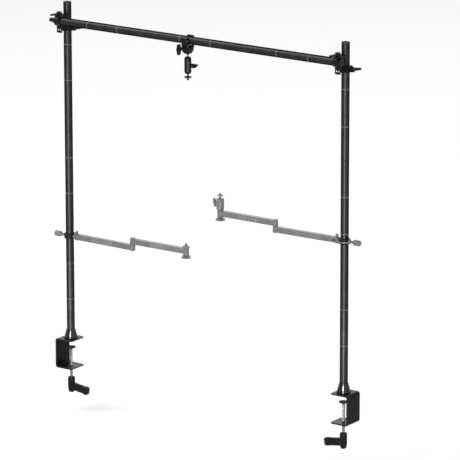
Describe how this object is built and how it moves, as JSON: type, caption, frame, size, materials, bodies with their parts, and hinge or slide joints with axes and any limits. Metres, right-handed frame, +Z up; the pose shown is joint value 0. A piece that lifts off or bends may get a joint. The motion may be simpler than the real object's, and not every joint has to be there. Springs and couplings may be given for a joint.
{
  "type": "overhead desk stand",
  "caption": "Portal stand clamped to a desk: sectional tube posts, sliding crossbar, tube clamp with ball arm, and folding side arms.",
  "frame": {"origin": "on the desk top, midway between the axes of the two posts", "axes": "+X along the crossbar to the right, +Y away from the front, +Z up along the posts"},
  "size_m": [1.0052, 0.1197, 1.1048],
  "materials": {
    "tube_black": "satin black anodised",
    "bracket_black": "satin black powder coat",
    "cast_black": "satin black paint on cast alloy",
    "plastic_black": "fine moulded grain",
    "gloss_black": "glossy moulding",
    "rubber_black": "matt",
    "bright_steel": "zinc plated, turned",
    "stud_black": "blackened steel",
    "arm_grey": "matt grey anodised"
  },
  "bodies": {
    "stand": {"left_clamp_bracket": "bracket_black", "right_clamp_bracket": "bracket_black", "foot_collars": "gloss_black", "post_studs": "bright_steel", "left_post_lower": "tube_black", "left_post_middle": "tube_black", "left_post_upper": "tube_black", "right_post_lower": "tube_black", "right_post_middle": "tube_black", "right_post_upper": "tube_black"},
    "corner_clamps": {"left_corner_housing": "cast_black", "right_corner_housing": "cast_black"},
    "crossbar": {"bar_left": "tube_black", "bar_middle": "tube_black", "bar_right": "tube_black", "bar_studs": "stud_black"},
    "tube_clamp": {"crab_body": "cast_black", "crab_rear_pad": "rubber_black"},
    "tube_clamp_jaw": {"crab_jaw": "cast_black", "crab_front_pad": "rubber_black"},
    "tube_clamp_knob": {"crab_knob": "plastic_black"},
    "upper_ball": {"upper_ball_stud": "bright_steel"},
    "sleeve": {"arm_sleeve": "cast_black"},
    "sleeve_lever": {"arm_lock_lever": "plastic_black"},
    "lower_ball": {"lower_ball_stud": "bright_steel"},
    "stud_disc": {"lock_disc": "plastic_black"},
    "left_pad": {"left_clamp_pad": "rubber_black"},
    "left_handle": {"left_clamp_screw": "bright_steel", "left_clamp_handle": "plastic_black"},
    "right_pad": {"right_clamp_pad": "rubber_black"},
    "right_handle": {"right_clamp_screw": "bright_steel", "right_clamp_handle": "plastic_black"},
    "left_post_saddle": {"left_post_jaw": "cast_black"},
    "left_post_wing": {"left_post_lever": "plastic_black"},
    "left_bar_saddle": {"left_bar_jaw": "cast_black"},
    "left_bar_wing": {"left_bar_lever": "plastic_black"},
    "right_post_saddle": {"right_post_jaw": "cast_black"},
    "right_post_wing": {"right_post_lever": "plastic_black"},
    "right_bar_saddle": {"right_bar_jaw": "cast_black"},
    "right_bar_wing": {"right_bar_lever": "plastic_black"},
    "left_liner": {"left_arm_liner": "plastic_black"},
    "left_ring": {"left_arm_ring": "cast_black"},
    "left_ring_knob": {"left_arm_knob": "arm_grey"},
    "left_inner_link": {"left_arm_inner": "arm_grey", "left_arm_bolts": "bright_steel"},
    "left_outer_link": {"left_arm_outer": "arm_grey"},
    "left_end_screw": {"left_end_knob": "arm_grey"},
    "right_liner": {"right_arm_liner": "plastic_black"},
    "right_ring": {"right_arm_ring": "cast_black"},
    "right_ring_knob": {"right_arm_knob": "arm_grey"},
    "right_inner_link": {"right_arm_inner": "arm_grey", "right_arm_bolts": "bright_steel"},
    "right_outer_link": {"right_arm_outer": "arm_grey"},
    "right_end_screw": {"right_end_knob": "arm_grey"},
    "left_disc": {"left_end_disc": "arm_grey"},
    "head": {"head_body": "arm_grey"},
    "head_ball": {"head_stud": "bright_steel"},
    "head_lock": {"head_knob": "arm_grey"}
  },
  "joints": [
    {"name": "left_pad_lift", "type": "slide", "parent": "stand", "child": "left_pad", "axis": [0, 0, 1], "range_m": [-0.04, 0.017]},
    {"name": "left_handle_turn", "type": "hinge", "parent": "left_pad", "child": "left_handle", "pos_m": [-0.453, 0, -0.1], "axis": [0, 0, 1], "range_deg": [-11500, 4880]},
    {"name": "right_pad_lift", "type": "slide", "parent": "stand", "child": "right_pad", "axis": [0, 0, 1], "range_m": [-0.04, 0.017]},
    {"name": "right_handle_turn", "type": "hinge", "parent": "right_pad", "child": "right_handle", "pos_m": [0.453, 0, -0.1], "axis": [0, 0, 1], "range_deg": [-11500, 4880]},
    {"name": "crossbar_height", "type": "slide", "parent": "stand", "child": "corner_clamps", "axis": [0, 0, 1], "range_m": [-0.2, 0.025]},
    {"name": "crossbar_turn", "type": "hinge", "parent": "corner_clamps", "child": "crossbar", "pos_m": [0, -0.0365, 0.9043], "axis": [1, 0, 0], "range_deg": [-180, 180]},
    {"name": "left_post_jaw_slide", "type": "slide", "parent": "corner_clamps", "child": "left_post_saddle", "axis": [1, 0, 0], "range_m": [0, 0.00031]},
    {"name": "left_post_lever_turn", "type": "hinge", "parent": "left_post_saddle", "child": "left_post_wing", "pos_m": [-0.453, 0, 0.8808], "axis": [1, 0, 0], "range_deg": [0, 110]},
    {"name": "left_bar_jaw_slide", "type": "slide", "parent": "corner_clamps", "child": "left_bar_saddle", "axis": [0, 0, 1], "range_m": [0, 0.00031]},
    {"name": "left_bar_lever_turn", "type": "hinge", "parent": "left_bar_saddle", "child": "left_bar_wing", "pos_m": [-0.453, -0.0365, 0.9043], "axis": [0, 0, 1], "range_deg": [0, 110]},
    {"name": "right_post_jaw_slide", "type": "slide", "parent": "corner_clamps", "child": "right_post_saddle", "axis": [1, 0, 0], "range_m": [0, 0.00031]},
    {"name": "right_post_lever_turn", "type": "hinge", "parent": "right_post_saddle", "child": "right_post_wing", "pos_m": [0.453, 0, 0.8808], "axis": [1, 0, 0], "range_deg": [0, 110]},
    {"name": "right_bar_jaw_slide", "type": "slide", "parent": "corner_clamps", "child": "right_bar_saddle", "axis": [0, 0, 1], "range_m": [0, 0.00031]},
    {"name": "right_bar_lever_turn", "type": "hinge", "parent": "right_bar_saddle", "child": "right_bar_wing", "pos_m": [0.453, -0.0365, 0.9043], "axis": [0, 0, 1], "range_deg": [0, 110]},
    {"name": "tube_clamp_slide", "type": "slide", "parent": "crossbar", "child": "tube_clamp", "axis": [1, 0, 0], "range_m": [-0.31, 0.36]},
    {"name": "tube_clamp_jaw_slide", "type": "slide", "parent": "tube_clamp", "child": "tube_clamp_jaw", "axis": [0, -1, 0], "range_m": [0, 0.0081]},
    {"name": "tube_clamp_knob_turn", "type": "hinge", "parent": "tube_clamp_jaw", "child": "tube_clamp_knob", "pos_m": [-0.025, -0.0665, 0.8852], "axis": [0, -1, 0], "range_deg": [0, 3600]},
    {"name": "arm_swivel", "type": "hinge", "parent": "tube_clamp", "child": "upper_ball", "pos_m": [-0.025, -0.0365, 0.8543], "axis": [0, 0, 1], "range_deg": [-180, 180]},
    {"name": "arm_tilt", "type": "hinge", "parent": "upper_ball", "child": "sleeve", "pos_m": [-0.025, -0.0365, 0.8543], "axis": [1, 0, 0], "range_deg": [-20, 88]},
    {"name": "arm_lever_turn", "type": "hinge", "parent": "sleeve", "child": "sleeve_lever", "pos_m": [-0.025, -0.0365, 0.83605], "axis": [1, 0, 0], "range_deg": [-180, 180]},
    {"name": "stud_tilt", "type": "hinge", "parent": "sleeve", "child": "lower_ball", "pos_m": [-0.025, -0.0365, 0.8178], "axis": [1, 0, 0], "range_deg": [-20, 88]},
    {"name": "disc_turn", "type": "hinge", "parent": "lower_ball", "child": "stud_disc", "pos_m": [-0.025, -0.0365, 0.8043], "axis": [0, 0, 1], "range_deg": [-180, 180]},
    {"name": "left_arm_height", "type": "slide", "parent": "stand", "child": "left_liner", "axis": [0, 0, 1], "range_m": [-0.2, 0.2]},
    {"name": "left_ring_turn", "type": "hinge", "parent": "left_liner", "child": "left_ring", "pos_m": [-0.453, 0, 0.296], "axis": [0, 0, 1], "range_deg": [-180, 180]},
    {"name": "left_ring_knob_turn", "type": "hinge", "parent": "left_ring", "child": "left_ring_knob", "pos_m": [-0.493, 0, 0.296], "axis": [-1, 0, 0], "range_deg": [0, 360]},
    {"name": "left_arm_swing", "type": "hinge", "parent": "left_ring", "child": "left_inner_link", "pos_m": [-0.429, 0, 0.296], "axis": [0, 0, 1], "range_deg": [-97, 97]},
    {"name": "left_elbow", "type": "hinge", "parent": "left_inner_link", "child": "left_outer_link", "pos_m": [-0.23554, -0.00405, 0.296], "axis": [0, 0, 1], "range_deg": [-150, 150]},
    {"name": "left_end_screw_turn", "type": "hinge", "parent": "left_outer_link", "child": "left_end_screw", "pos_m": [-0.05654, -0.00405, 0.296], "axis": [0, 0, 1], "range_deg": [0, 360]},
    {"name": "right_arm_height", "type": "slide", "parent": "stand", "child": "right_liner", "axis": [0, 0, 1], "range_m": [-0.3, 0.09]},
    {"name": "right_ring_turn", "type": "hinge", "parent": "right_liner", "child": "right_ring", "pos_m": [0.453, 0, 0.418], "axis": [0, 0, 1], "range_deg": [-180, 180]},
    {"name": "right_ring_knob_turn", "type": "hinge", "parent": "right_ring", "child": "right_ring_knob", "pos_m": [0.493, 0, 0.418], "axis": [1, 0, 0], "range_deg": [0, 360]},
    {"name": "right_arm_swing", "type": "hinge", "parent": "right_ring", "child": "right_inner_link", "pos_m": [0.429, 0, 0.418], "axis": [0, 0, 1], "range_deg": [-97, 97]},
    {"name": "right_elbow", "type": "hinge", "parent": "right_inner_link", "child": "right_outer_link", "pos_m": [0.23554, -0.00405, 0.418], "axis": [0, 0, 1], "range_deg": [-150, 150]},
    {"name": "right_end_screw_turn", "type": "hinge", "parent": "right_outer_link", "child": "right_end_screw", "pos_m": [0.05654, -0.00405, 0.418], "axis": [0, 0, 1], "range_deg": [0, 360]},
    {"name": "left_disc_turn", "type": "hinge", "parent": "left_end_screw", "child": "left_disc", "pos_m": [-0.05654, -0.00405, 0.324], "axis": [0, 0, 1], "range_deg": [-180, 180]},
    {"name": "head_pan", "type": "hinge", "parent": "right_outer_link", "child": "head", "pos_m": [0.05654, -0.00405, 0.4461], "axis": [0, 0, 1], "range_deg": [-180, 180]},
    {"name": "head_tilt", "type": "hinge", "parent": "head", "child": "head_ball", "pos_m": [0.05654, -0.00405, 0.4686], "axis": [1, 0, 0], "range_deg": [-88, 20]},
    {"name": "head_lock_turn", "type": "hinge", "parent": "head", "child": "head_lock", "pos_m": [0.04054, -0.00405, 0.4626], "axis": [-1, 0, 0], "range_deg": [0, 360]}
  ],
  "couplings": [
    {"joint": "left_pad_lift", "follows": "left_handle_turn", "m_per_rad": 0.00019894},
    {"joint": "right_pad_lift", "follows": "right_handle_turn", "m_per_rad": 0.00019894},
    {"joint": "left_post_jaw_slide", "follows": "left_post_lever_turn", "m_per_rad": 0.00015915},
    {"joint": "left_bar_jaw_slide", "follows": "left_bar_lever_turn", "m_per_rad": 0.00015915},
    {"joint": "right_post_jaw_slide", "follows": "right_post_lever_turn", "m_per_rad": 0.00015915},
    {"joint": "right_bar_jaw_slide", "follows": "right_bar_lever_turn", "m_per_rad": 0.00015915},
    {"joint": "tube_clamp_jaw_slide", "follows": "tube_clamp_knob_turn", "m_per_rad": 0.00012732}
  ]
}
